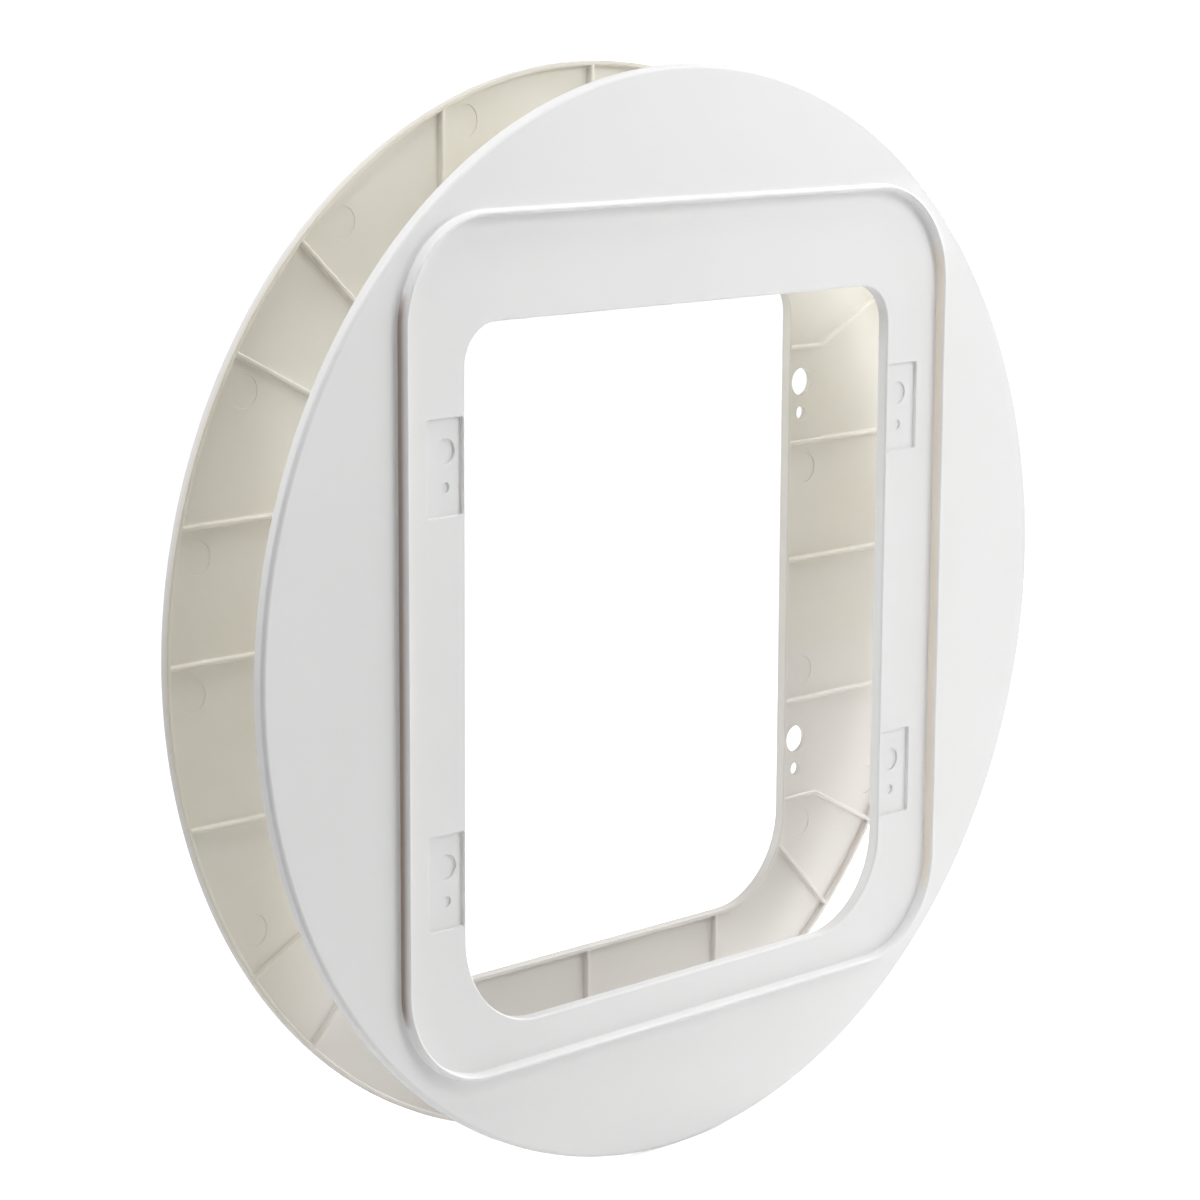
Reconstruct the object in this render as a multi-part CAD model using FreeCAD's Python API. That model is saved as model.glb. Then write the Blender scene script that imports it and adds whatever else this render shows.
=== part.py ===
import FreeCAD, Part
import math
import os

# Round mounting adaptor for a cat flap: two moulded plastic frames, one for
# each face of a door or pane, held apart on one axis. Millimetres, +Z up,
# the front frame towards -Y. The origin is the centre of both discs, midway
# between the frames.

# --- driving dimensions -------------------------------------------------
DISC_R = 177.0          # outer radius of both frames
DEPTH = 4.0             # outer face to the rim's end face
PLATE = 2.0             # thickness of the plate behind the outer face
DOOR_GAP = 40.0         # between the two rims' end faces, the door's thickness
EDGE_R = 1.5            # rounding of the disc's outer front edge
LIP = 1.5               # thickness of the rim and of the lip round the opening

OPEN_HALF_W = 97.25     # passage opening
OPEN_TOP = 102.0
OPEN_BOTTOM = -119.0
OPEN_R_TOP = 13.0
OPEN_R_BOTTOM = 31.0
OPEN_EDGE_R = 0.5       # rounding where the opening meets the outer face

RIDGE_HALF_W = 124.3    # raised seat ridge, outer sides
RIDGE_TOP = 135.8
RIDGE_BOTTOM = -133.3
RIDGE_R = 34.0
RIDGE_T = 1.8           # wall of the ridge
RIDGE_H = 3.6           # height over the outer face
RIDGE_FOOT_R = 0.8      # fillet at its foot
RIDGE_CREST_R = 0.45    # rounding of its crest

PAD_IN = 98.2           # sunk pads beside the opening, distances from the middle
PAD_OUT = 113.0
PAD_Z = ((44.8, 74.7), (-83.0, -53.0))
PAD_DEPTH = 1.2
PAD_R = 0.8
BOSS_OUT = 115.4        # raised block behind each pad, on the inner side, lower than the ribs
BOSS_DEPTH = 3.1        # outer face to the block's top
BOSS_Z = ((42.4, 77.1), (-85.4, -48.7))
HOLE_X = 104.5
BIG_Z = (64.4, -63.5)
SMALL_Z = (53.5, -74.4)
BIG_R = 4.75            # through holes of the rear frame
SMALL_R = 2.25
BLIND_R = 3.9           # closed seats of the front frame
BLIND_DEPTH = 0.7
PILOT_R = 1.7
PILOT_DEPTH = 0.6

RIB_T = 1.5
RIB_CREST_R = 0.3
MARK_R = 5.2            # round ejector marks on the inner side
MARK_DEPTH = 0.2

V = FreeCAD.Vector
AXIS = V(0, 1, 0)


# --- shapes, all with the outer face at y = 0 and the inner side at +Y ---
def round_rect(half_w, z0, z1, r_top, r_bottom, y):
    """Closed wire of a rectangle with rounded corners, in the plane y."""
    x = half_w
    s = math.sqrt(0.5)
    corners = ((x - r_top, z1 - r_top, r_top, 0), (-x + r_top, z1 - r_top, r_top, 90),
               (-x + r_bottom, z0 + r_bottom, r_bottom, 180), (x - r_bottom, z0 + r_bottom, r_bottom, 270))
    arcs = []
    for cx, cz, r, start in corners:
        pts = []
        for a in (start, start + 45, start + 90):
            t = math.radians(a)
            pts.append(V(cx + r * math.cos(t), y, cz + r * math.sin(t)))
        arcs.append(pts)
    edges = []
    for i, pts in enumerate(arcs):
        edges.append(Part.Arc(*pts).toShape())
        edges.append(Part.LineSegment(pts[2], arcs[(i + 1) % 4][0]).toShape())
    return Part.Wire(edges)


def prism(wire, height):
    return Part.Face(wire).extrude(V(0, height, 0))


def opening(grow, y, height):
    return prism(round_rect(OPEN_HALF_W + grow, OPEN_BOTTOM - grow, OPEN_TOP + grow,
                            OPEN_R_TOP + grow, OPEN_R_BOTTOM + grow, y), height)


def drum(r, y, height):
    return Part.makeCylinder(r, height, V(0, y, 0), AXIS)


def edges_at(shape, test):
    return [e for e in shape.Edges if test(e)]


def on_loop(edge, y, half_w, z0, z1):
    """True if the edge lies at depth y inside or on the stated rectangle."""
    b = edge.BoundBox
    return (abs(b.YMin - y) < 1e-4 and abs(b.YMax - y) < 1e-4
            and b.XMax <= half_w + 0.01 and b.XMin >= -half_w - 0.01
            and b.ZMax <= z1 + 0.01 and b.ZMin >= z0 - 0.01)


def rib(p, q):
    """Straight rib from p to q in the plate's plane, with a rounded crest."""
    dx, dz = q[0] - p[0], q[1] - p[1]
    length = math.hypot(dx, dz)
    box = Part.makeBox(length, DEPTH - PLATE + 0.4, RIB_T, V(0, PLATE - 0.4, -RIB_T / 2))
    crest = edges_at(box, lambda e: abs(e.BoundBox.YMin - DEPTH) < 1e-6 and e.BoundBox.XLength > length * 0.9)
    box = box.makeFillet(RIB_CREST_R, crest)
    box.rotate(V(0, 0, 0), AXIS, -math.degrees(math.atan2(dz, dx)))
    box.translate(V(p[0], 0, p[1]))
    return box


def bent_rib(p, q, r):
    """Rib from p over the bend q to r, mitred at the bend, with a rounded crest."""
    def normal(a, b):
        length = math.hypot(b[0] - a[0], b[1] - a[1])
        return ((a[1] - b[1]) / length, (b[0] - a[0]) / length)
    n0, n1 = normal(p, q), normal(q, r)
    k = 1 / (1 + n0[0] * n1[0] + n0[1] * n1[1])
    outline = []
    for h in (RIB_T / 2, -RIB_T / 2):
        side = [(p[0] + h * n0[0], p[1] + h * n0[1]),
                (q[0] + h * k * (n0[0] + n1[0]), q[1] + h * k * (n0[1] + n1[1])),
                (r[0] + h * n1[0], r[1] + h * n1[1])]
        outline += side if h > 0 else side[::-1]
    pts = [V(x, PLATE - 0.4, z) for x, z in outline]
    body = prism(Part.makePolygon(pts + pts[:1]), DEPTH - PLATE + 0.4)
    crest = edges_at(body, lambda e: abs(e.BoundBox.YMin - DEPTH) < 1e-6 and e.Length > 5)
    return body.makeFillet(RIB_CREST_R, crest)


def polar(r, degrees):
    return (r * math.cos(math.radians(degrees)), r * math.sin(math.radians(degrees)))


def ribs():
    """Centre lines of the ribs on the +X half, from the opening to the rim."""
    top, bottom = BOSS_Z
    far = DISC_R - LIP / 2
    inner = OPEN_HALF_W + LIP / 2
    half = [
        ((inner, top[0] + RIB_T / 2), (math.sqrt(far ** 2 - (top[0] + RIB_T / 2) ** 2), top[0] + RIB_T / 2)),
        ((inner, 1.5), (math.sqrt(far ** 2 - 1.5 ** 2), 1.5)),
        ((inner, bottom[1] - RIB_T / 2), (math.sqrt(far ** 2 - (bottom[1] - RIB_T / 2) ** 2), bottom[1] - RIB_T / 2)),
        ((94.2, 98.9), polar(far, 45.6)),
        ((95.2, -100.2), polar(far, -46.3)),
        ((65.3, OPEN_TOP + LIP / 2), (65.3, math.sqrt(far ** 2 - 65.3 ** 2))),
        ((63.2, OPEN_BOTTOM - LIP / 2), (63.2, -math.sqrt(far ** 2 - 63.2 ** 2))),
    ]
    both = [rib(p, q) for p, q in half]
    both += [rib((-p[0], p[1]), (-q[0], q[1])) for p, q in half]
    for z, angle in ((top[1] - RIB_T / 2, 32.2), (bottom[0] + RIB_T / 2, -34.6)):
        end = polar(far, angle)
        for side in (1, -1):
            both.append(bent_rib((side * inner, z), (side * (BOSS_OUT - 0.6), z), (side * end[0], end[1])))
    both.append(rib((0, OPEN_TOP + LIP / 2), (0, far)))
    both.append(rib((0, OPEN_BOTTOM - LIP / 2), (0, -far)))
    return both


MARKS = [  # centres of the ejector marks on the +X half
    (54.5, 159.3), (105.5, 130.0), (144.8, 81.8), (163.6, 33.6), (166.3, -8.0), (143.8, -85.2),
    (108.0, 33.6), (108.0, -39.2), (108.0, -94.6), (53.0, -157.8),
]


def frame(through):
    # disc with its rounded outer edge and the two edges of the rim's end face
    body = drum(DISC_R, 0, DEPTH)
    body = body.makeFillet(EDGE_R, edges_at(body, lambda e: abs(e.BoundBox.YMax) < 1e-6 and e.Closed))
    # seat ridge on the outer face
    outer = prism(round_rect(RIDGE_HALF_W, RIDGE_BOTTOM, RIDGE_TOP, RIDGE_R, RIDGE_R, -RIDGE_H), RIDGE_H + 0.5)
    inner = prism(round_rect(RIDGE_HALF_W - RIDGE_T, RIDGE_BOTTOM + RIDGE_T, RIDGE_TOP - RIDGE_T,
                             RIDGE_R - RIDGE_T, RIDGE_R - RIDGE_T, -RIDGE_H - 1), RIDGE_H + 2)
    ridge = outer.cut(inner)
    crest = edges_at(ridge, lambda e: abs(e.BoundBox.YMax + RIDGE_H) < 1e-5)
    ridge = ridge.makeFillet(RIDGE_CREST_R, crest)
    body = body.fuse(ridge).removeSplitter()
    foot = edges_at(body, lambda e: on_loop(e, 0, RIDGE_HALF_W, RIDGE_BOTTOM, RIDGE_TOP))
    body = body.makeFillet(RIDGE_FOOT_R, foot)
    # passage opening, rounded where it meets the outer face
    body = body.cut(opening(0, -1, DEPTH + 2))
    rim = edges_at(body, lambda e: on_loop(e, 0, OPEN_HALF_W, OPEN_BOTTOM, OPEN_TOP))
    body = body.makeFillet(OPEN_EDGE_R, rim)
    # hollow inner side between the rim and the opening's lip
    hollow = drum(DISC_R - LIP, PLATE, DEPTH).cut(opening(LIP, PLATE - 1, DEPTH + 2))
    body = body.cut(hollow)
    # ribs, and the blocks that back the pads
    zone = drum(DISC_R - LIP / 2, 0, DEPTH).cut(opening(LIP / 2, -1, DEPTH + 2))
    adds = ribs()
    for z0, z1 in BOSS_Z:
        for side in (1, -1):
            x0 = OPEN_HALF_W + LIP / 2 if side > 0 else -BOSS_OUT
            block = Part.makeBox(BOSS_OUT - OPEN_HALF_W - LIP / 2, BOSS_DEPTH - PLATE + 0.4, z1 - z0 - RIB_T,
                                 V(x0, PLATE - 0.4, z0 + RIB_T / 2))
            adds.append(block)
    extra = adds[0].multiFuse(adds[1:]).common(zone)
    body = body.fuse(extra).removeSplitter()
    # sunk pads on the outer face
    for z0, z1 in PAD_Z:
        for side in (1, -1):
            mid = side * (PAD_IN + PAD_OUT) / 2
            w = round_rect((PAD_OUT - PAD_IN) / 2, z0, z1, PAD_R, PAD_R, -1)
            w.translate(V(mid, 0, 0))
            body = body.cut(prism(w, PAD_DEPTH + 1))
    # fixing holes, or their closed seats
    for side in (1, -1):
        for z in BIG_Z:
            if through:
                body = body.cut(Part.makeCylinder(BIG_R, DEPTH + 2, V(side * HOLE_X, -1, z), AXIS))
            else:
                body = body.cut(Part.makeCylinder(BLIND_R, BLIND_DEPTH + 0.5, V(side * HOLE_X, PAD_DEPTH - 0.5, z), AXIS))
        for z in SMALL_Z:
            if through:
                body = body.cut(Part.makeCylinder(SMALL_R, DEPTH + 2, V(side * HOLE_X, -1, z), AXIS))
            else:
                body = body.cut(Part.makeCylinder(PILOT_R, PILOT_DEPTH + 0.5, V(side * HOLE_X, PAD_DEPTH - 0.5, z), AXIS))
    # shallow ejector marks on the inner side
    for x, z in MARKS:
        for side in (1, -1):
            body = body.cut(Part.makeCylinder(MARK_R, DEPTH, V(side * x, PLATE - MARK_DEPTH, z), AXIS).common(
                drum(DISC_R - LIP, PLATE - 1, 1.0)))
    return body.removeSplitter()


def main():
    os.makedirs("parts", exist_ok=True)
    face_y = DOOR_GAP / 2 + DEPTH
    front = frame(through=False)
    front.translate(V(0, -face_y, 0))
    rear = frame(through=True)
    rear.rotate(V(0, 0, 0), V(0, 0, 1), 180)
    rear.translate(V(0, face_y, 0))
    for name, shape in (("front_frame", front), ("rear_frame", rear)):
        solids = shape.Solids
        assert len(solids) == 1 and solids[0].isValid(), (name, len(solids))
        solid = solids[0]
        b = solid.BoundBox
        print("%s volume %.0f mm3, box x %.2f..%.2f y %.2f..%.2f z %.2f..%.2f, %d faces" % (
            name, solid.Volume, b.XMin, b.XMax, b.YMin, b.YMax, b.ZMin, b.ZMax, len(solid.Faces)))
        solid.exportStep("parts/%s.step" % name)


main()
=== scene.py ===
import math

import bpy
import numpy as np
from mathutils import Matrix, Vector
from mathutils.geometry import delaunay_2d_cdt


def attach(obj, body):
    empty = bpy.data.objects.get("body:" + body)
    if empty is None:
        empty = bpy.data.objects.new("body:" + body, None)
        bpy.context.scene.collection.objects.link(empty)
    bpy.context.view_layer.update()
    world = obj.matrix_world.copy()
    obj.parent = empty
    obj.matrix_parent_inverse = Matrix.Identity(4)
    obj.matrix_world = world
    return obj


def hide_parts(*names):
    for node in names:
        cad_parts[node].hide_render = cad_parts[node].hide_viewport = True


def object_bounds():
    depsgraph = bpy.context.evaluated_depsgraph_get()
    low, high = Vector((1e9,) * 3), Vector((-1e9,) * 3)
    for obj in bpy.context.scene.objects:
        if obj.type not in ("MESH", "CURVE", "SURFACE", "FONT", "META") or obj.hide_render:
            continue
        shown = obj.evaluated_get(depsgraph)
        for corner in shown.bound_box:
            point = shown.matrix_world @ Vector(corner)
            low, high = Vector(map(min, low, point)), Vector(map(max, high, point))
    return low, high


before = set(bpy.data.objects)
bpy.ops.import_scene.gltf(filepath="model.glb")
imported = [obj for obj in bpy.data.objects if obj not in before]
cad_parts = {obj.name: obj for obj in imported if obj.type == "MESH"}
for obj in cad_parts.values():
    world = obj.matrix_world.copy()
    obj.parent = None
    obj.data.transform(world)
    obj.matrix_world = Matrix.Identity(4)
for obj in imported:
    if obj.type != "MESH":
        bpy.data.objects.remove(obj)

cad_lo, cad_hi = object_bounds()
scene = bpy.context.scene

# ---------------------------------------------------------------- camera
AZ, EL, ROLL = math.radians(-45.149), math.radians(10.523), math.radians(0.281)
AIM = Vector((-0.039908, -0.024, 0.011283))
DIST = 1.081817
FOCAL_PX, FRAME_PX, SENSOR = 3445.156, 1200, 36.0

back = Vector((math.sin(AZ) * math.cos(EL), -math.cos(AZ) * math.cos(EL), math.sin(EL)))
right = Vector((math.cos(AZ), math.sin(AZ), 0.0))
up = back.cross(right)
r2 = right * math.cos(ROLL) + up * math.sin(ROLL)
u2 = up * math.cos(ROLL) - right * math.sin(ROLL)
eye = AIM + back * DIST
cam = bpy.data.cameras.new("camera")
cam.sensor_fit = "HORIZONTAL"
cam.sensor_width = SENSOR
cam.lens = FOCAL_PX / FRAME_PX * SENSOR
cam.clip_start, cam.clip_end = 0.05, 200.0
cam_obj = bpy.data.objects.new("camera", cam)
cam_obj.matrix_world = Matrix((
    (r2.x, u2.x, back.x, eye.x), (r2.y, u2.y, back.y, eye.y),
    (r2.z, u2.z, back.z, eye.z), (0, 0, 0, 1)))
scene.collection.objects.link(cam_obj)
scene.camera = cam_obj

# ---------------------------------------------------------------- colours shown as they are
scene.view_settings.view_transform = "Standard"
scene.view_settings.look = "None"


# ---------------------------------------------------------------- node helpers
def material(name):
    m = bpy.data.materials.new(name)
    m.use_nodes = True
    nt = m.node_tree
    nt.nodes.clear()
    out = nt.nodes.new("ShaderNodeOutputMaterial")
    bsdf = nt.nodes.new("ShaderNodeBsdfPrincipled")
    nt.links.new(bsdf.outputs[0], out.inputs[0])
    return m, nt, bsdf


def node(nt, kind, **values):
    n = nt.nodes.new(kind)
    for k, v in values.items():
        if hasattr(n, k):
            setattr(n, k, v)
        else:
            n.inputs[k].default_value = v
    return n


def math_node(nt, op, a, b=None):
    n = nt.nodes.new("ShaderNodeMath")
    n.operation = op
    for i, v in enumerate((a, b)):
        if v is None:
            continue
        if isinstance(v, (int, float)):
            n.inputs[i].default_value = v
        else:
            nt.links.new(v, n.inputs[i])
    return n.outputs[0]


def mixed(nt, factor, a, b):
    """Colour between two others, each a colour or a node's output."""
    n = nt.nodes.new("ShaderNodeMix")
    n.data_type = "RGBA"
    for socket, v in ((n.inputs[0], factor), (n.inputs[6], a), (n.inputs[7], b)):
        if isinstance(v, tuple):
            socket.default_value = v + (1,)
        elif isinstance(v, (int, float)):
            socket.default_value = v
        else:
            nt.links.new(v, socket)
    return n.outputs[2]


def ranged(nt, value, lo, hi, to_lo=0.0, to_hi=1.0):
    n = nt.nodes.new("ShaderNodeMapRange")
    nt.links.new(value, n.inputs["Value"])
    for k, v in (("From Min", lo), ("From Max", hi), ("To Min", to_lo), ("To Max", to_hi)):
        n.inputs[k].default_value = v
    return n.outputs[0]


def plastic(name, scale, dark, light, rough_lo, rough_hi, ridge=None, painted_lit_tint=None, edge=None):
    """White moulded plastic: cloudy tone, fine grain. ridge is the outer face's place and the way
    inward from it, in metres along Y, where painted shade darkens the ridge's outer walls towards
    their foot and painted warm bounce light tints its inner walls. edge is the painted warm bounce
    light that the rim takes on towards the ribbed side.
    faded is the less yellow tone that the plastic has towards its lower end."""
    m, nt, bsdf = material(name)
    geo = nt.nodes.new("ShaderNodeTexCoord")
    obj = geo.outputs["Object"]
    tone = node(nt, "ShaderNodeTexNoise", Scale=scale, Detail=4.0, Roughness=0.55)
    nt.links.new(obj, tone.inputs["Vector"])
    colour = mixed(nt, ranged(nt, tone.outputs["Fac"], 0.3, 0.7), dark, light)
    # painted light: the warm bounce tint weakens towards the lower end and +X
    if painted_lit_tint:
        place = nt.nodes.new("ShaderNodeVectorMath")
        place.operation = "DOT_PRODUCT"
        nt.links.new(obj, place.inputs[0])
        place.inputs[1].default_value = (0.5, 0.0, -1.5)
        patch = math_node(nt, "MULTIPLY", math_node(nt, "SUBTRACT", tone.outputs["Fac"], 0.5), 0.12)
        painted_lit_mask = ranged(nt, math_node(nt, "ADD", place.outputs["Value"], patch), 0.04, 0.15)
        colour = mixed(nt, painted_lit_mask, colour, painted_lit_tint)
    if ridge:
        face_y, inward = ridge
        sep = nt.nodes.new("ShaderNodeSeparateXYZ")
        nt.links.new(obj, sep.inputs[0])
        depth = math_node(nt, "MULTIPLY", math_node(nt, "SUBTRACT", sep.outputs["Y"], face_y), inward)
        turn = nt.nodes.new("ShaderNodeSeparateXYZ")
        nt.links.new(geo.outputs["Normal"], turn.inputs[0])
        steep = math_node(nt, "SQRT", math_node(nt, "SUBTRACT", 1.0, math_node(nt, "MULTIPLY", turn.outputs["Y"], turn.outputs["Y"])))
        plan = math_node(nt, "DIVIDE", turn.outputs["X"], steep)
        outward = math_node(nt, "MULTIPLY", plan, math_node(nt, "SIGN", sep.outputs["X"]))
        proud = ranged(nt, depth, 0.00002, -0.00015)
        # painted shade on the ridge's outer walls, darkest at their foot; painted warm bounce light on its inner walls
        for turned_lo, turned_hi, steep_lo, steep_hi, top, full, painted_light_tone in (
                (0.94, 0.99, 0.35, 0.75, -0.0034, -0.0012, RIDGE_WALL_PAINTED_SHADE),
                (-0.90, -0.98, 0.50, 0.90, -0.0036, -0.0026, RIDGE_INNER_PAINTED_BOUNCE)):
            wall = math_node(nt, "MULTIPLY", ranged(nt, outward, turned_lo, turned_hi), ranged(nt, steep, steep_lo, steep_hi))
            wall = math_node(nt, "MULTIPLY", math_node(nt, "MULTIPLY", wall, proud), ranged(nt, depth, top, full))
            colour = mixed(nt, wall, colour, painted_light_tone)
        # painted warm bounce light on the rim, growing towards the ribbed side
        if edge:
            colour = mixed(nt, ranged(nt, depth, 0.0012, 0.0032), colour, edge)
    nt.links.new(colour, bsdf.inputs["Base Color"])

    grain = node(nt, "ShaderNodeTexNoise", Scale=1500.0, Detail=2.0, Roughness=0.6)
    nt.links.new(obj, grain.inputs["Vector"])
    nt.links.new(ranged(nt, grain.outputs["Fac"], 0.0, 1.0, rough_lo, rough_hi), bsdf.inputs["Roughness"])
    bump = nt.nodes.new("ShaderNodeBump")
    bump.inputs["Strength"].default_value = 0.12
    bump.inputs["Distance"].default_value = 0.0001
    nt.links.new(grain.outputs["Fac"], bump.inputs["Height"])
    nt.links.new(bump.outputs[0], bsdf.inputs["Normal"])
    bsdf.inputs["IOR"].default_value = 1.5
    return m


# painted shade on the ridge's outer walls towards their foot, and painted warm bounce light on its inner walls
RIDGE_WALL_PAINTED_SHADE = (0.378, 0.306, 0.262)
RIDGE_INNER_PAINTED_BOUNCE = (0.89, 0.81, 0.715)
front_mat = plastic("front_white_plastic", 14.0, (0.84, 0.84, 0.838), (0.86, 0.86, 0.858), 0.38, 0.50, (-0.024, 1.0))
# the rear's rim also takes painted warm bounce light towards the ribbed side
rear_mat = plastic("rear_white_plastic", 14.0, (0.84, 0.84, 0.838), (0.86, 0.86, 0.858), 0.38, 0.50, (0.024, -1.0), edge=(0.80, 0.755, 0.68))
# the ribbed side's warm cream is painted warm bounce light on the same plastic as the outer side
ribbed_bounce_tint_mat = plastic("ribbed_side_bounce_tint_plastic", 32.0, (0.838, 0.810, 0.716), (0.866, 0.846, 0.787), 0.42, 0.55, painted_lit_tint=(0.852, 0.825, 0.791))
for name, mat in (("front_frame", front_mat), ("rear_frame", rear_mat)):
    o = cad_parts[name]
    o.data.materials.clear()
    o.data.materials.append(mat)

# ---------------------------------------------------------------- one frame's shape
# Millimetres. x and z lie in the disc's plane and d is the depth from the outer face.
DISC_R = 176.95
DEPTH, PLATE, LIP = 4.0, 2.0, 1.5
OPEN_W, OPEN_Z0, OPEN_Z1, OPEN_RT, OPEN_RB = 97.25, -119.0, 102.0, 13.0, 31.0
RIDGE_W, RIDGE_Z0, RIDGE_Z1, RIDGE_R, RIDGE_T, RIDGE_H = 124.3, -133.3, 135.8, 34.0, 1.8, 3.6
PAD_X, PAD_Z, PAD_D = (98.2, 113.0), ((44.8, 74.7), (-83.0, -53.0)), 1.2
BLOCK_X, BLOCK_Z, BLOCK_D = 115.4, ((42.4, 77.1), (-85.4, -48.7)), 3.1
HOLE_X, BIG_Z, SMALL_Z = 104.5, (64.4, -63.5), (53.5, -74.4)
RIB_T = 1.5
MARK_R, MARK_D = 5.2, 0.2
MARKS = ((54.5, 159.3), (105.5, 130.0), (144.8, 81.8), (163.6, 33.6), (166.3, -8.0), (143.8, -85.2),
         (108.0, 33.6), (108.0, -39.2), (108.0, -94.6), (53.0, -157.8))


def ring_of(cx, cz, r, n):
    t = np.arange(n) * 2 * math.pi / n
    return np.stack([cx + r * np.cos(t), cz + r * np.sin(t)], 1)


def rounded(x0, x1, z0, z1, r_top, r_bottom, n):
    """Rectangle with rounded corners, anticlockwise, n steps to each corner."""
    pts = []
    for cx, cz, r, a in ((x1 - r_top, z1 - r_top, r_top, 0), (x0 + r_top, z1 - r_top, r_top, 90),
                         (x0 + r_bottom, z0 + r_bottom, r_bottom, 180), (x1 - r_bottom, z0 + r_bottom, r_bottom, 270)):
        for k in range(n + 1):
            t = math.radians(a + 90.0 * k / n)
            pts.append((cx + r * math.cos(t), cz + r * math.sin(t)))
    return np.array(pts)


def sides(loop):
    """Outward normal of each side of an anticlockwise loop."""
    d = np.roll(loop, -1, 0) - loop
    d /= np.linalg.norm(d, axis=1)[:, None]
    return np.stack([d[:, 1], -d[:, 0]], 1)


def grown(loop, by):
    n = sides(loop)
    before = np.roll(n, 1, 0)
    return loop + by * (n + before) / (1 + (n * before).sum(1))[:, None]


def arc(co, cd, r, a0, a1, n, hollow=False):
    """Part of a profile: points (offset, depth) on an arc from angle a0 to a1, with their
    normals, away from the arc's centre, or towards it for a hollow."""
    out = []
    for k in range(n + 1):
        t = math.radians(a0 + (a1 - a0) * k / n)
        c, s = math.cos(t), math.sin(t)
        sign = -1 if hollow else 1
        out.append((co + r * c, cd + r * s, sign * c, sign * s))
    return out


def oval(co, cd, ro, rd, a0, a1, n):
    """The same on an ellipse with half axes ro and rd."""
    out = []
    for k in range(n + 1):
        t = math.radians(a0 + (a1 - a0) * k / n)
        c, s = math.cos(t), math.sin(t)
        size = math.hypot(c / ro, s / rd)
        out.append((co + ro * c, cd + rd * s, c / ro / size, s / rd / size))
    return out


class Skin:
    """Collects faces with the true normal at each of their corners. side is 0 for faces of the
    outer side and 1 for faces of the ribbed side."""

    def __init__(self):
        self.index, self.points, self.faces, self.normals = {}, [], [], []
        self.side, self.sides = 0, []

    def add(self, pts, nrm):
        ids, keep = [], []
        for p, n in zip(pts, nrm):
            key = (round(p[0], 6), round(p[1], 6), round(p[2], 6))
            i = self.index.setdefault(key, len(self.points))
            if i == len(self.points):
                self.points.append(p)
            if i not in ids:
                ids.append(i)
                keep.append(n)
        if len(ids) < 3:
            return
        q = [self.points[i] for i in ids]
        ax, ay, az = (q[1][k] - q[0][k] for k in range(3))
        bx, by, bz = (q[-1][k] - q[0][k] for k in range(3))
        face_n = (ay * bz - az * by, az * bx - ax * bz, ax * by - ay * bx)
        want = [sum(n[k] for n in keep) for k in range(3)]
        if sum(f * w for f, w in zip(face_n, want)) < 0:
            ids.reverse()
            keep.reverse()
        self.faces.append(ids)
        self.normals.append(keep)
        self.sides.append(self.side)

    def wall(self, loop, profile):
        """Sweeps a profile of (offset, depth, normal's two parts) round an anticlockwise loop."""
        n = sides(loop)
        before = np.roll(n, 1, 0)
        dot = (n * before).sum(1)
        smooth = dot > math.cos(math.radians(28))
        mean = n + before
        mean /= np.linalg.norm(mean, axis=1)[:, None]
        start = np.where(smooth[:, None], mean, n)
        end = np.where(smooth[:, None], mean, before)
        rings = [grown(loop, p[0]) for p in profile]
        count = len(loop)
        for k in range(len(profile) - 1):
            (_, d0, no0, nd0), (_, d1, no1, nd1) = profile[k], profile[k + 1]
            a, b = rings[k], rings[k + 1]
            for i in range(count):
                j = (i + 1) % count
                si, ej = start[i], end[j]
                self.add(
                    ((a[i][0], d0, a[i][1]), (a[j][0], d0, a[j][1]), (b[j][0], d1, b[j][1]), (b[i][0], d1, b[i][1])),
                    ((no0 * si[0], nd0, no0 * si[1]), (no0 * ej[0], nd0, no0 * ej[1]),
                     (no1 * ej[0], nd1, no1 * ej[1]), (no1 * si[0], nd1, no1 * si[1])))
        return rings[0], rings[-1]

    def flat(self, loops, d, facing):
        """Fills the plane at depth d between the loops: inside an odd number of them."""
        pts = np.concatenate(loops)
        edges, at = [], 0
        for lp in loops:
            k = len(lp)
            edges += [(at + i, at + (i + 1) % k) for i in range(k)]
            at += k
        mid = pts.mean(0)
        _, _, tris, orig, _, _ = delaunay_2d_cdt([Vector(p - mid) for p in pts], edges, [], 0, 1e-5, True)
        real = [o[0] if o else None for o in orig]
        tris = [[real[v] for v in t] for t in tris]
        tris = [t for t in tris if None not in t and len(set(t)) == 3]
        centre = np.array([pts[t].mean(0) for t in tris])
        inside = odd(centre, loops)
        up_n = (0.0, float(facing), 0.0)
        for t, ok in zip(tris, inside):
            if ok:
                self.add([(pts[v][0], d, pts[v][1]) for v in t], (up_n, up_n, up_n))


def odd(pts, loops):
    """True for each point that lies inside an odd number of the loops."""
    res = np.zeros(len(pts), bool)
    for lp in loops:
        a, b = lp, np.roll(lp, -1, 0)
        for s in range(0, len(pts), 2000):
            x, z = pts[s:s + 2000, 0, None], pts[s:s + 2000, 1, None]
            cross = (a[None, :, 1] > z) != (b[None, :, 1] > z)
            with np.errstate(divide="ignore", invalid="ignore"):
                at = a[None, :, 0] + (z - a[None, :, 1]) * (b[None, :, 0] - a[None, :, 0]) / (b[None, :, 1] - a[None, :, 1])
            res[s:s + 2000] ^= (np.sum(cross & (x < at), axis=1) % 2).astype(bool)
    return res


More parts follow.
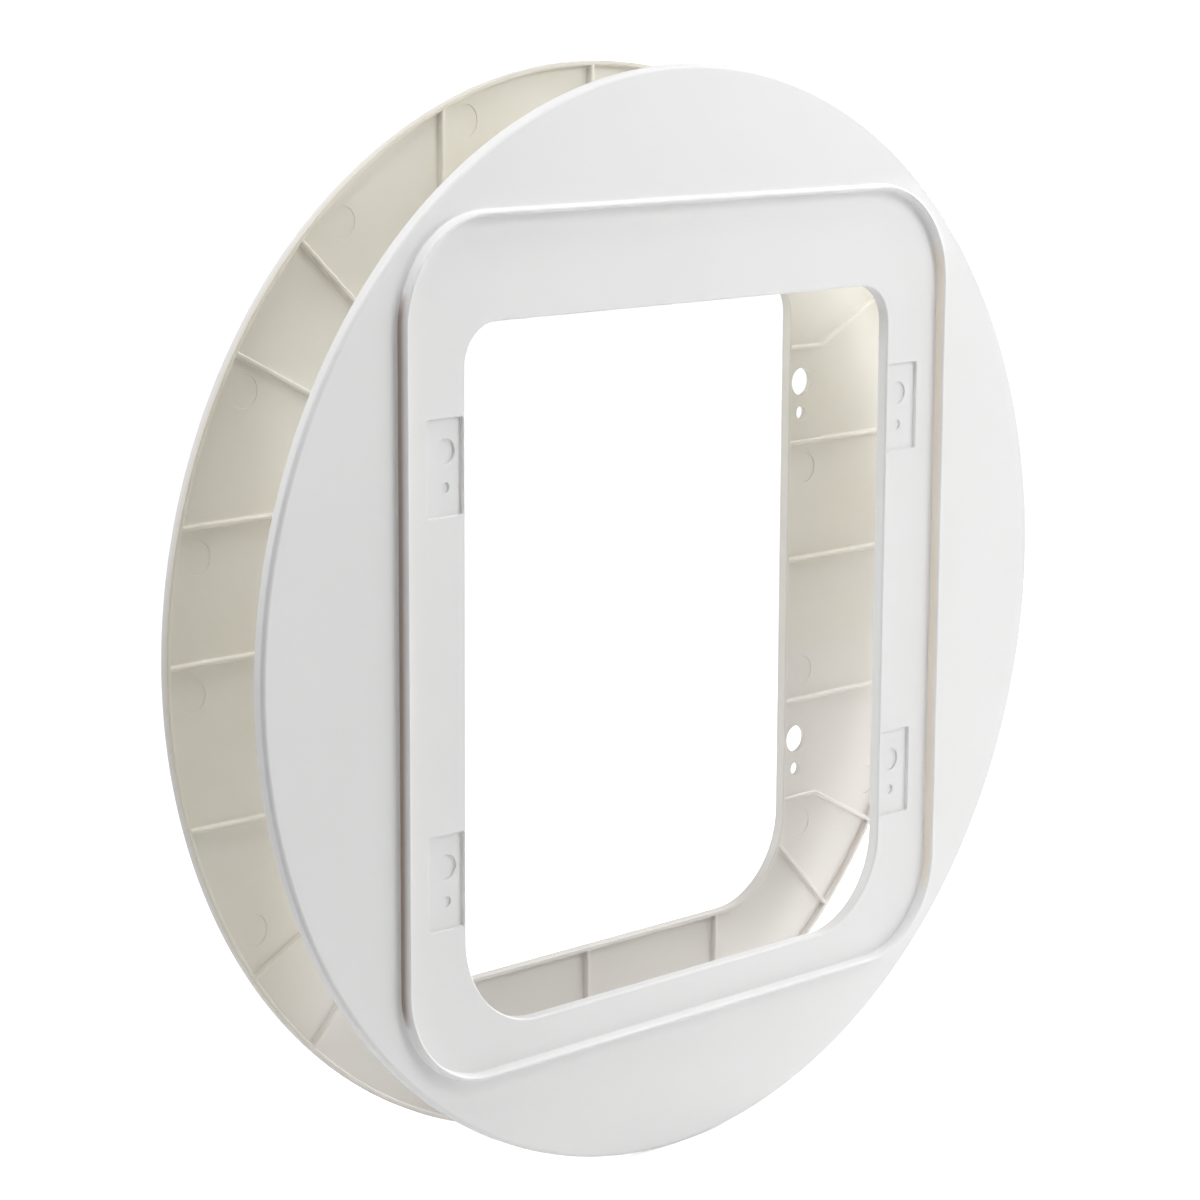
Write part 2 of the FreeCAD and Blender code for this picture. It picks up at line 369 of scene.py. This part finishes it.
def rib_lines():
    (t0, t1), (b0, b1) = BLOCK_Z
    far, near, h = DISC_R - 0.7, OPEN_W + 0.75, RIB_T / 2
    on = lambda v: math.sqrt(far ** 2 - v ** 2)
    polar = lambda a: (far * math.cos(math.radians(a)), far * math.sin(math.radians(a)))
    half = [((near, t0 + h), (on(t0 + h), t0 + h)), ((near, 1.5), (on(1.5), 1.5)),
            ((near, b1 - h), (on(b1 - h), b1 - h)), ((near, t1 - h), (BLOCK_X - 0.6, t1 - h), polar(32.2)),
            ((near, b0 + h), (BLOCK_X - 0.6, b0 + h), polar(-34.6)), ((94.2, 98.9), polar(45.6)), ((95.2, -100.2), polar(-46.3)),
            ((65.3, OPEN_Z1 + 0.75), (65.3, on(65.3))), ((63.2, OPEN_Z0 - 0.75), (63.2, -on(63.2)))]
    both = half + [tuple((-x, z) for x, z in line) for line in half]
    return both + [((0.0, OPEN_Z1 + 0.75), (0.0, far)), ((0.0, OPEN_Z0 - 0.75), (0.0, -far))]


def strip(line, width):
    """Outline of a strip of the given width along a centre line, mitred at its bend."""
    pts = np.array(line)
    u = np.diff(pts, axis=0)
    u /= np.linalg.norm(u, axis=1)[:, None]
    n = np.stack([-u[:, 1], u[:, 0]], 1)
    first, last = np.vstack([n[:1], n]), np.vstack([n, n[-1:]])
    shift = width / 2 * (first + last) / (1 + (first * last).sum(1))[:, None]
    return np.concatenate([pts - shift, (pts + shift)[::-1]])


def pockets():
    """Anticlockwise outlines of the sunk fields between the rim, the lip and the ribs."""
    rim = ring_of(0, 0, DISC_R - LIP, 720)
    lip = grown(rounded(-OPEN_W, OPEN_W, OPEN_Z0, OPEN_Z1, OPEN_RT, OPEN_RB, 24), LIP)
    solids = [strip(line, RIB_T) for line in rib_lines()]
    loops = [rim, lip] + solids
    pts, edges, at = np.concatenate(loops), [], 0
    for lp in loops:
        k = len(lp)
        edges += [(at + i, at + (i + 1) % k) for i in range(k)]
        at += k
    vs, _, tris, _, _, _ = delaunay_2d_cdt([Vector(p) for p in pts], edges, [], 0, 1e-4, True)
    vs = np.array([(v.x, v.y) for v in vs])
    tris = [list(t) for t in tris]
    centre = np.array([vs[t].mean(0) for t in tris])
    open_ = odd(centre, [rim]) & ~odd(centre, [lip])
    for s in solids:
        open_ &= ~odd(centre, [s])
    step = {}
    for t, ok in zip(tris, open_):
        if ok:
            a, b, c = vs[t[0]], vs[t[1]], vs[t[2]]
            if (b[0] - a[0]) * (c[1] - a[1]) - (b[1] - a[1]) * (c[0] - a[0]) < 0:
                t = t[::-1]
            for i in range(3):
                step[(t[i], t[(i + 1) % 3])] = True
    after = {a: b for a, b in step if (b, a) not in step}
    found = []
    while after:
        first = min(after)
        loop, v = [], first
        while v in after:
            loop.append(v)
            v = after.pop(v)
        found.append(tidy(vs[loop]))
    return found


def tidy(loop):
    """Leaves out points in line with their neighbours, and points of a curve right beside a corner."""
    def turns(lp):
        n = sides(lp)
        b = np.roll(n, 1, 0)
        return np.degrees(np.arctan2(np.abs(b[:, 0] * n[:, 1] - b[:, 1] * n[:, 0]), (n * b).sum(1)))
    loop = loop[np.linalg.norm(np.roll(loop, -1, 0) - loop, axis=1) > 0.01]
    loop = loop[turns(loop) > 0.05]
    t = turns(loop)
    corners = loop[t > 20]
    gap = np.linalg.norm(loop[:, None] - corners[None], axis=2).min(1)
    return loop[(t > 20) | (gap > 0.9)]


def parted(loop):
    """Where a field holds a block, its outline with the block's two ends put in, the block's
    outline and what is left of the field, or else None."""
    for z0, z1 in BLOCK_Z:
        for s in (1, -1):
            if not odd(np.array([(s * (BLOCK_X - 4), (z0 + z1) / 2)]), [loop])[0]:
                continue
            full = []
            for p, q in zip(loop, np.roll(loop, -1, 0)):
                full.append(tuple(p))
                if (s * p[0] - BLOCK_X) * (s * q[0] - BLOCK_X) < 0:
                    t = (s * BLOCK_X - p[0]) / (q[0] - p[0])
                    full.append((s * BLOCK_X, p[1] + t * (q[1] - p[1])))
            full = np.array(full)
            return full, full[s * full[:, 0] < BLOCK_X + 1e-6], full[s * full[:, 0] > BLOCK_X - 1e-6]
    return None


def frame_skin(through):
    s = Skin()
    e, crest, foot = 0.22, 0.6, 0.4
    disc = ring_of(0, 0, DISC_R, 720)
    ridge = rounded(-RIDGE_W, RIDGE_W, RIDGE_Z0, RIDGE_Z1, RIDGE_R, RIDGE_R, 48)
    opening = rounded(-OPEN_W, OPEN_W, OPEN_Z0, OPEN_Z1, OPEN_RT, OPEN_RB, 32)
    # rim, from the outer face round the large edge to the rim's end face
    rim_out, rim_in = s.wall(disc, arc(-1.5, 1.5, 1.5, -90, 0, 10) + arc(-e, DEPTH - e, e, 0, 90, 4))
    # seat ridge, over its crest from the outer foot to the inner foot
    f, half, bead = 0.45, RIDGE_T / 2, 2.0
    foot_out, foot_in = s.wall(ridge, arc(f, -f, f, 90, 180, 6, True) + oval(-half, -RIDGE_H + bead, half, bead, 0, -180, 20)
                               + arc(-RIDGE_T - f, -f, f, 0, 90, 6, True))
    # passage opening
    edge = arc(0.7, 0.7, 0.7, -90, -180, 8)
    open_out, _ = s.wall(opening, edge)
    s.side = 1 if through else 0
    _, open_in = s.wall(opening, edge[-1:] + arc(e, DEPTH - e, e, 180, 90, 4))
    s.side = 0
    # sunk pads with their holes
    plate_loops, top_loops, hole_loops = [foot_in, open_out], [rim_in, open_in], []
    for z0, z1 in PAD_Z:
        for side in (1, -1):
            x0, x1 = sorted((side * PAD_X[0], side * PAD_X[1]))
            pad = rounded(x0, x1, z0, z1, 0.8, 0.8, 6)
            pad_out, pad_in = s.wall(pad, arc(0.22, 0.22, 0.22, -90, -180, 4) + arc(-0.3, PAD_D - 0.3, 0.3, 0, 90, 4, True))
            plate_loops.append(pad_out)
            floor_loops = [pad_in]
            for zs, r_through, r_blind, deep in ((BIG_Z, 4.75, 3.9, 0.7), (SMALL_Z, 2.25, 1.7, 0.6)):
                z = zs[0] if z0 > 0 else zs[1]
                if through:
                    hole = ring_of(side * HOLE_X, z, r_through, 64)
                    s.side = 1
                    a, b = s.wall(hole, arc(0.18, PAD_D + 0.18, 0.18, -90, -180, 3) + arc(0.18, BLOCK_D - 0.18, 0.18, 180, 90, 3))
                    s.side = 0
                    floor_loops.append(a)
                    hole_loops.append(b)
                else:
                    hole = ring_of(side * HOLE_X, z, r_blind, 64)
                    a, b = s.wall(hole, arc(0.12, PAD_D + 0.12, 0.12, -90, -180, 3)
                                  + arc(-0.15, PAD_D + deep - 0.15, 0.15, 0, 90, 3, True))
                    floor_loops.append(a)
                    s.flat([b], PAD_D + deep, -1)
            s.flat(floor_loops, PAD_D, -1)
    s.flat([rim_out, foot_out], 0.0, -1)
    s.flat(plate_loops, 0.0, -1)
    # ribbed side
    s.side = 1
    marks = [ring_of(side * x, z, MARK_R, 64) for x, z in MARKS for side in (1, -1)]
    over, under = arc(crest, DEPTH - crest, crest, 90, 180, 4), arc(-foot, PLATE + foot, foot, 0, -90, 5, True)
    for loop in pockets():
        split = parted(loop)
        if split:
            at_block = [(0.0, BLOCK_D, -1.0, 0.0)]
            top, _ = s.wall(split[0], over + at_block)
            s.flat([split[1]] + [h for h in hole_loops if odd(h[:1], [split[1]])[0]], BLOCK_D, 1)
            _, low = s.wall(split[2], at_block + under)
        else:
            top, low = s.wall(loop, over + under)
        top_loops.append(top)
        floor_loops = [low]
        for mark in marks:
            if odd(mark[:1], [loop])[0]:
                a, b = s.wall(mark, arc(0.08, PLATE - 0.08, 0.08, 90, 180, 3) + arc(-0.08, PLATE - MARK_D + 0.08, 0.08, 0, -90, 3, True))
                floor_loops.append(a)
                s.flat([b], PLATE - MARK_D, 1)
        s.flat(floor_loops, PLATE, 1)
    s.flat(top_loops, DEPTH, 1)
    return s


def frame_object(name, skin, turned, face_y):
    """Puts a frame in its place, in metres: turned is half a turn about Z."""
    p = np.array(skin.points)
    sign = -1.0 if turned else 1.0
    xyz = np.stack([sign * p[:, 0], face_y + sign * p[:, 1], p[:, 2]], 1) * 0.001
    me = bpy.data.meshes.new(name)
    me.from_pydata(xyz.tolist(), [], skin.faces)
    me.shade_smooth()
    me.polygons.foreach_set("material_index", skin.sides)
    n = np.array([v for f in skin.normals for v in f])
    n[:, 0] *= sign
    n[:, 1] *= sign
    n /= np.linalg.norm(n, axis=1)[:, None]
    me.normals_split_custom_set(n.tolist())
    o = bpy.data.objects.new(name, me)
    scene.collection.objects.link(o)
    return o


front = frame_object("front_frame_skin", frame_skin(False), False, -24.0)
rear = frame_object("rear_frame_skin", frame_skin(True), True, 24.0)
for piece, mat, cad in ((front, front_mat, "front_frame"), (rear, rear_mat, "rear_frame")):
    piece.data.materials.append(mat)
    # the ribbed side, with the rear's opening and hole walls, takes the painted warm bounce light
    piece.data.materials.append(ribbed_bounce_tint_mat)
    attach(piece, "root")
    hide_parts(cad)

# ---------------------------------------------------------------- floor
floor_z = cad_lo[2]
R, RINGS, SEG = 60.0, 10, 64
verts = [(0, 0, floor_z)]
for i in range(1, RINGS + 1):
    r = R * (i / RINGS) ** 2
    verts += [(r * math.cos(2 * math.pi * k / SEG), r * math.sin(2 * math.pi * k / SEG), floor_z) for k in range(SEG)]
faces = [(0, 1 + k, 1 + (k + 1) % SEG) for k in range(SEG)]
for i in range(RINGS - 1):
    a, b = 1 + i * SEG, 1 + (i + 1) * SEG
    faces += [(a + k, b + k, b + (k + 1) % SEG, a + (k + 1) % SEG) for k in range(SEG)]
me = bpy.data.meshes.new("floor")
me.from_pydata(verts, [], faces)
floor = bpy.data.objects.new("floor", me)
scene.collection.objects.link(floor)
fm, nt, bsdf = material("floor_paper")
tc = nt.nodes.new("ShaderNodeTexCoord")
fibre = node(nt, "ShaderNodeTexNoise", Scale=3.0, Detail=2.0)
nt.links.new(tc.outputs["Object"], fibre.inputs["Vector"])
mix = nt.nodes.new("ShaderNodeMix")
mix.data_type = "RGBA"
mix.inputs[6].default_value = (0.92, 0.92, 0.92, 1)
mix.inputs[7].default_value = (0.94, 0.94, 0.94, 1)
nt.links.new(fibre.outputs["Fac"], mix.inputs[0])
nt.links.new(mix.outputs[2], bsdf.inputs["Base Color"])
bsdf.inputs["Roughness"].default_value = 0.9
bsdf.inputs["Specular IOR Level"].default_value = 0.2
# the paper is lit from behind, more with the distance from the object, and lights only the picture
path = nt.nodes.new("ShaderNodeLightPath")
length = nt.nodes.new("ShaderNodeVectorMath")
length.operation = "LENGTH"
nt.links.new(tc.outputs["Object"], length.inputs[0])
far = nt.nodes.new("ShaderNodeMapRange")
far.interpolation_type = "SMOOTHSTEP"
far.inputs["From Min"].default_value = 0.25
far.inputs["From Max"].default_value = 1.6
far.inputs["To Min"].default_value = 0.62
far.inputs["To Max"].default_value = 1.0
nt.links.new(length.outputs["Value"], far.inputs["Value"])
nt.links.new(math_node(nt, "MULTIPLY", far.outputs[0], path.outputs["Is Camera Ray"]), bsdf.inputs["Emission Strength"])
bsdf.inputs["Emission Color"].default_value = (1, 1, 1, 1)
me.materials.append(fm)


# ---------------------------------------------------------------- light
def place(o, direction):
    o.rotation_euler = Vector(direction).to_track_quat("Z", "Y").to_euler()
    o.visible_camera = False
    scene.collection.objects.link(o)


def sun(name, azimuth, elevation, strength, angle=40.0):
    """Wide parallel light. Azimuth 0 comes from in front of the frames, 90 from their right."""
    d = bpy.data.lights.new(name, "SUN")
    d.energy, d.angle = strength, math.radians(angle)
    a, e = math.radians(azimuth), math.radians(elevation)
    place(bpy.data.objects.new(name, d), (math.sin(a) * math.cos(e), -math.cos(a) * math.cos(e), math.sin(e)))


def softbox(name, at, size, watts):
    d = bpy.data.lights.new(name, "AREA")
    d.shape, d.size, d.energy = "DISK", size, watts
    o = bpy.data.objects.new(name, d)
    o.location = at
    place(o, Vector(at) - Vector((0, -0.024, 0)))


sun("back_left", -150, 10, 1.17)
sun("left", -90, 35, 0.26, 12.0)
sun("right_front", 50, 10, 0.39)
softbox("front_far_right", (0.90, -0.60, 0.30), 0.5, 0.68)
softbox("front_high_right", (0.30, -0.60, 0.60), 0.4, 2.18)
softbox("front_high", (0.0, -0.50, 0.80), 0.4, 0.34)
softbox("front_high_left", (-0.35, -0.45, 0.60), 0.3, 0.23)
softbox("top", (0.0, -0.10, 0.70), 0.4, 0.30)
softbox("top_left", (-0.30, -0.10, 0.70), 0.4, 2.32)
softbox("top_back_left", (-0.40, 0.30, 0.60), 0.4, 0.82)
softbox("right", (0.80, 0.0, 0.30), 0.4, 6.10)
softbox("right_near", (0.60, -0.35, 0.15), 0.3, 0.19)
softbox("back_right", (0.80, 0.90, 0.50), 0.8, 0.37)
softbox("low_right", (0.70, -0.90, -0.02), 0.3, 1.20)

world = bpy.data.worlds.new("studio")
world.use_nodes = True
wt = world.node_tree
bg = wt.nodes["Background"]
bg.inputs[0].default_value = (1, 1, 1, 1)
wpath = wt.nodes.new("ShaderNodeLightPath")
wt.links.new(wpath.outputs["Is Camera Ray"], bg.inputs[1])
scene.world = world
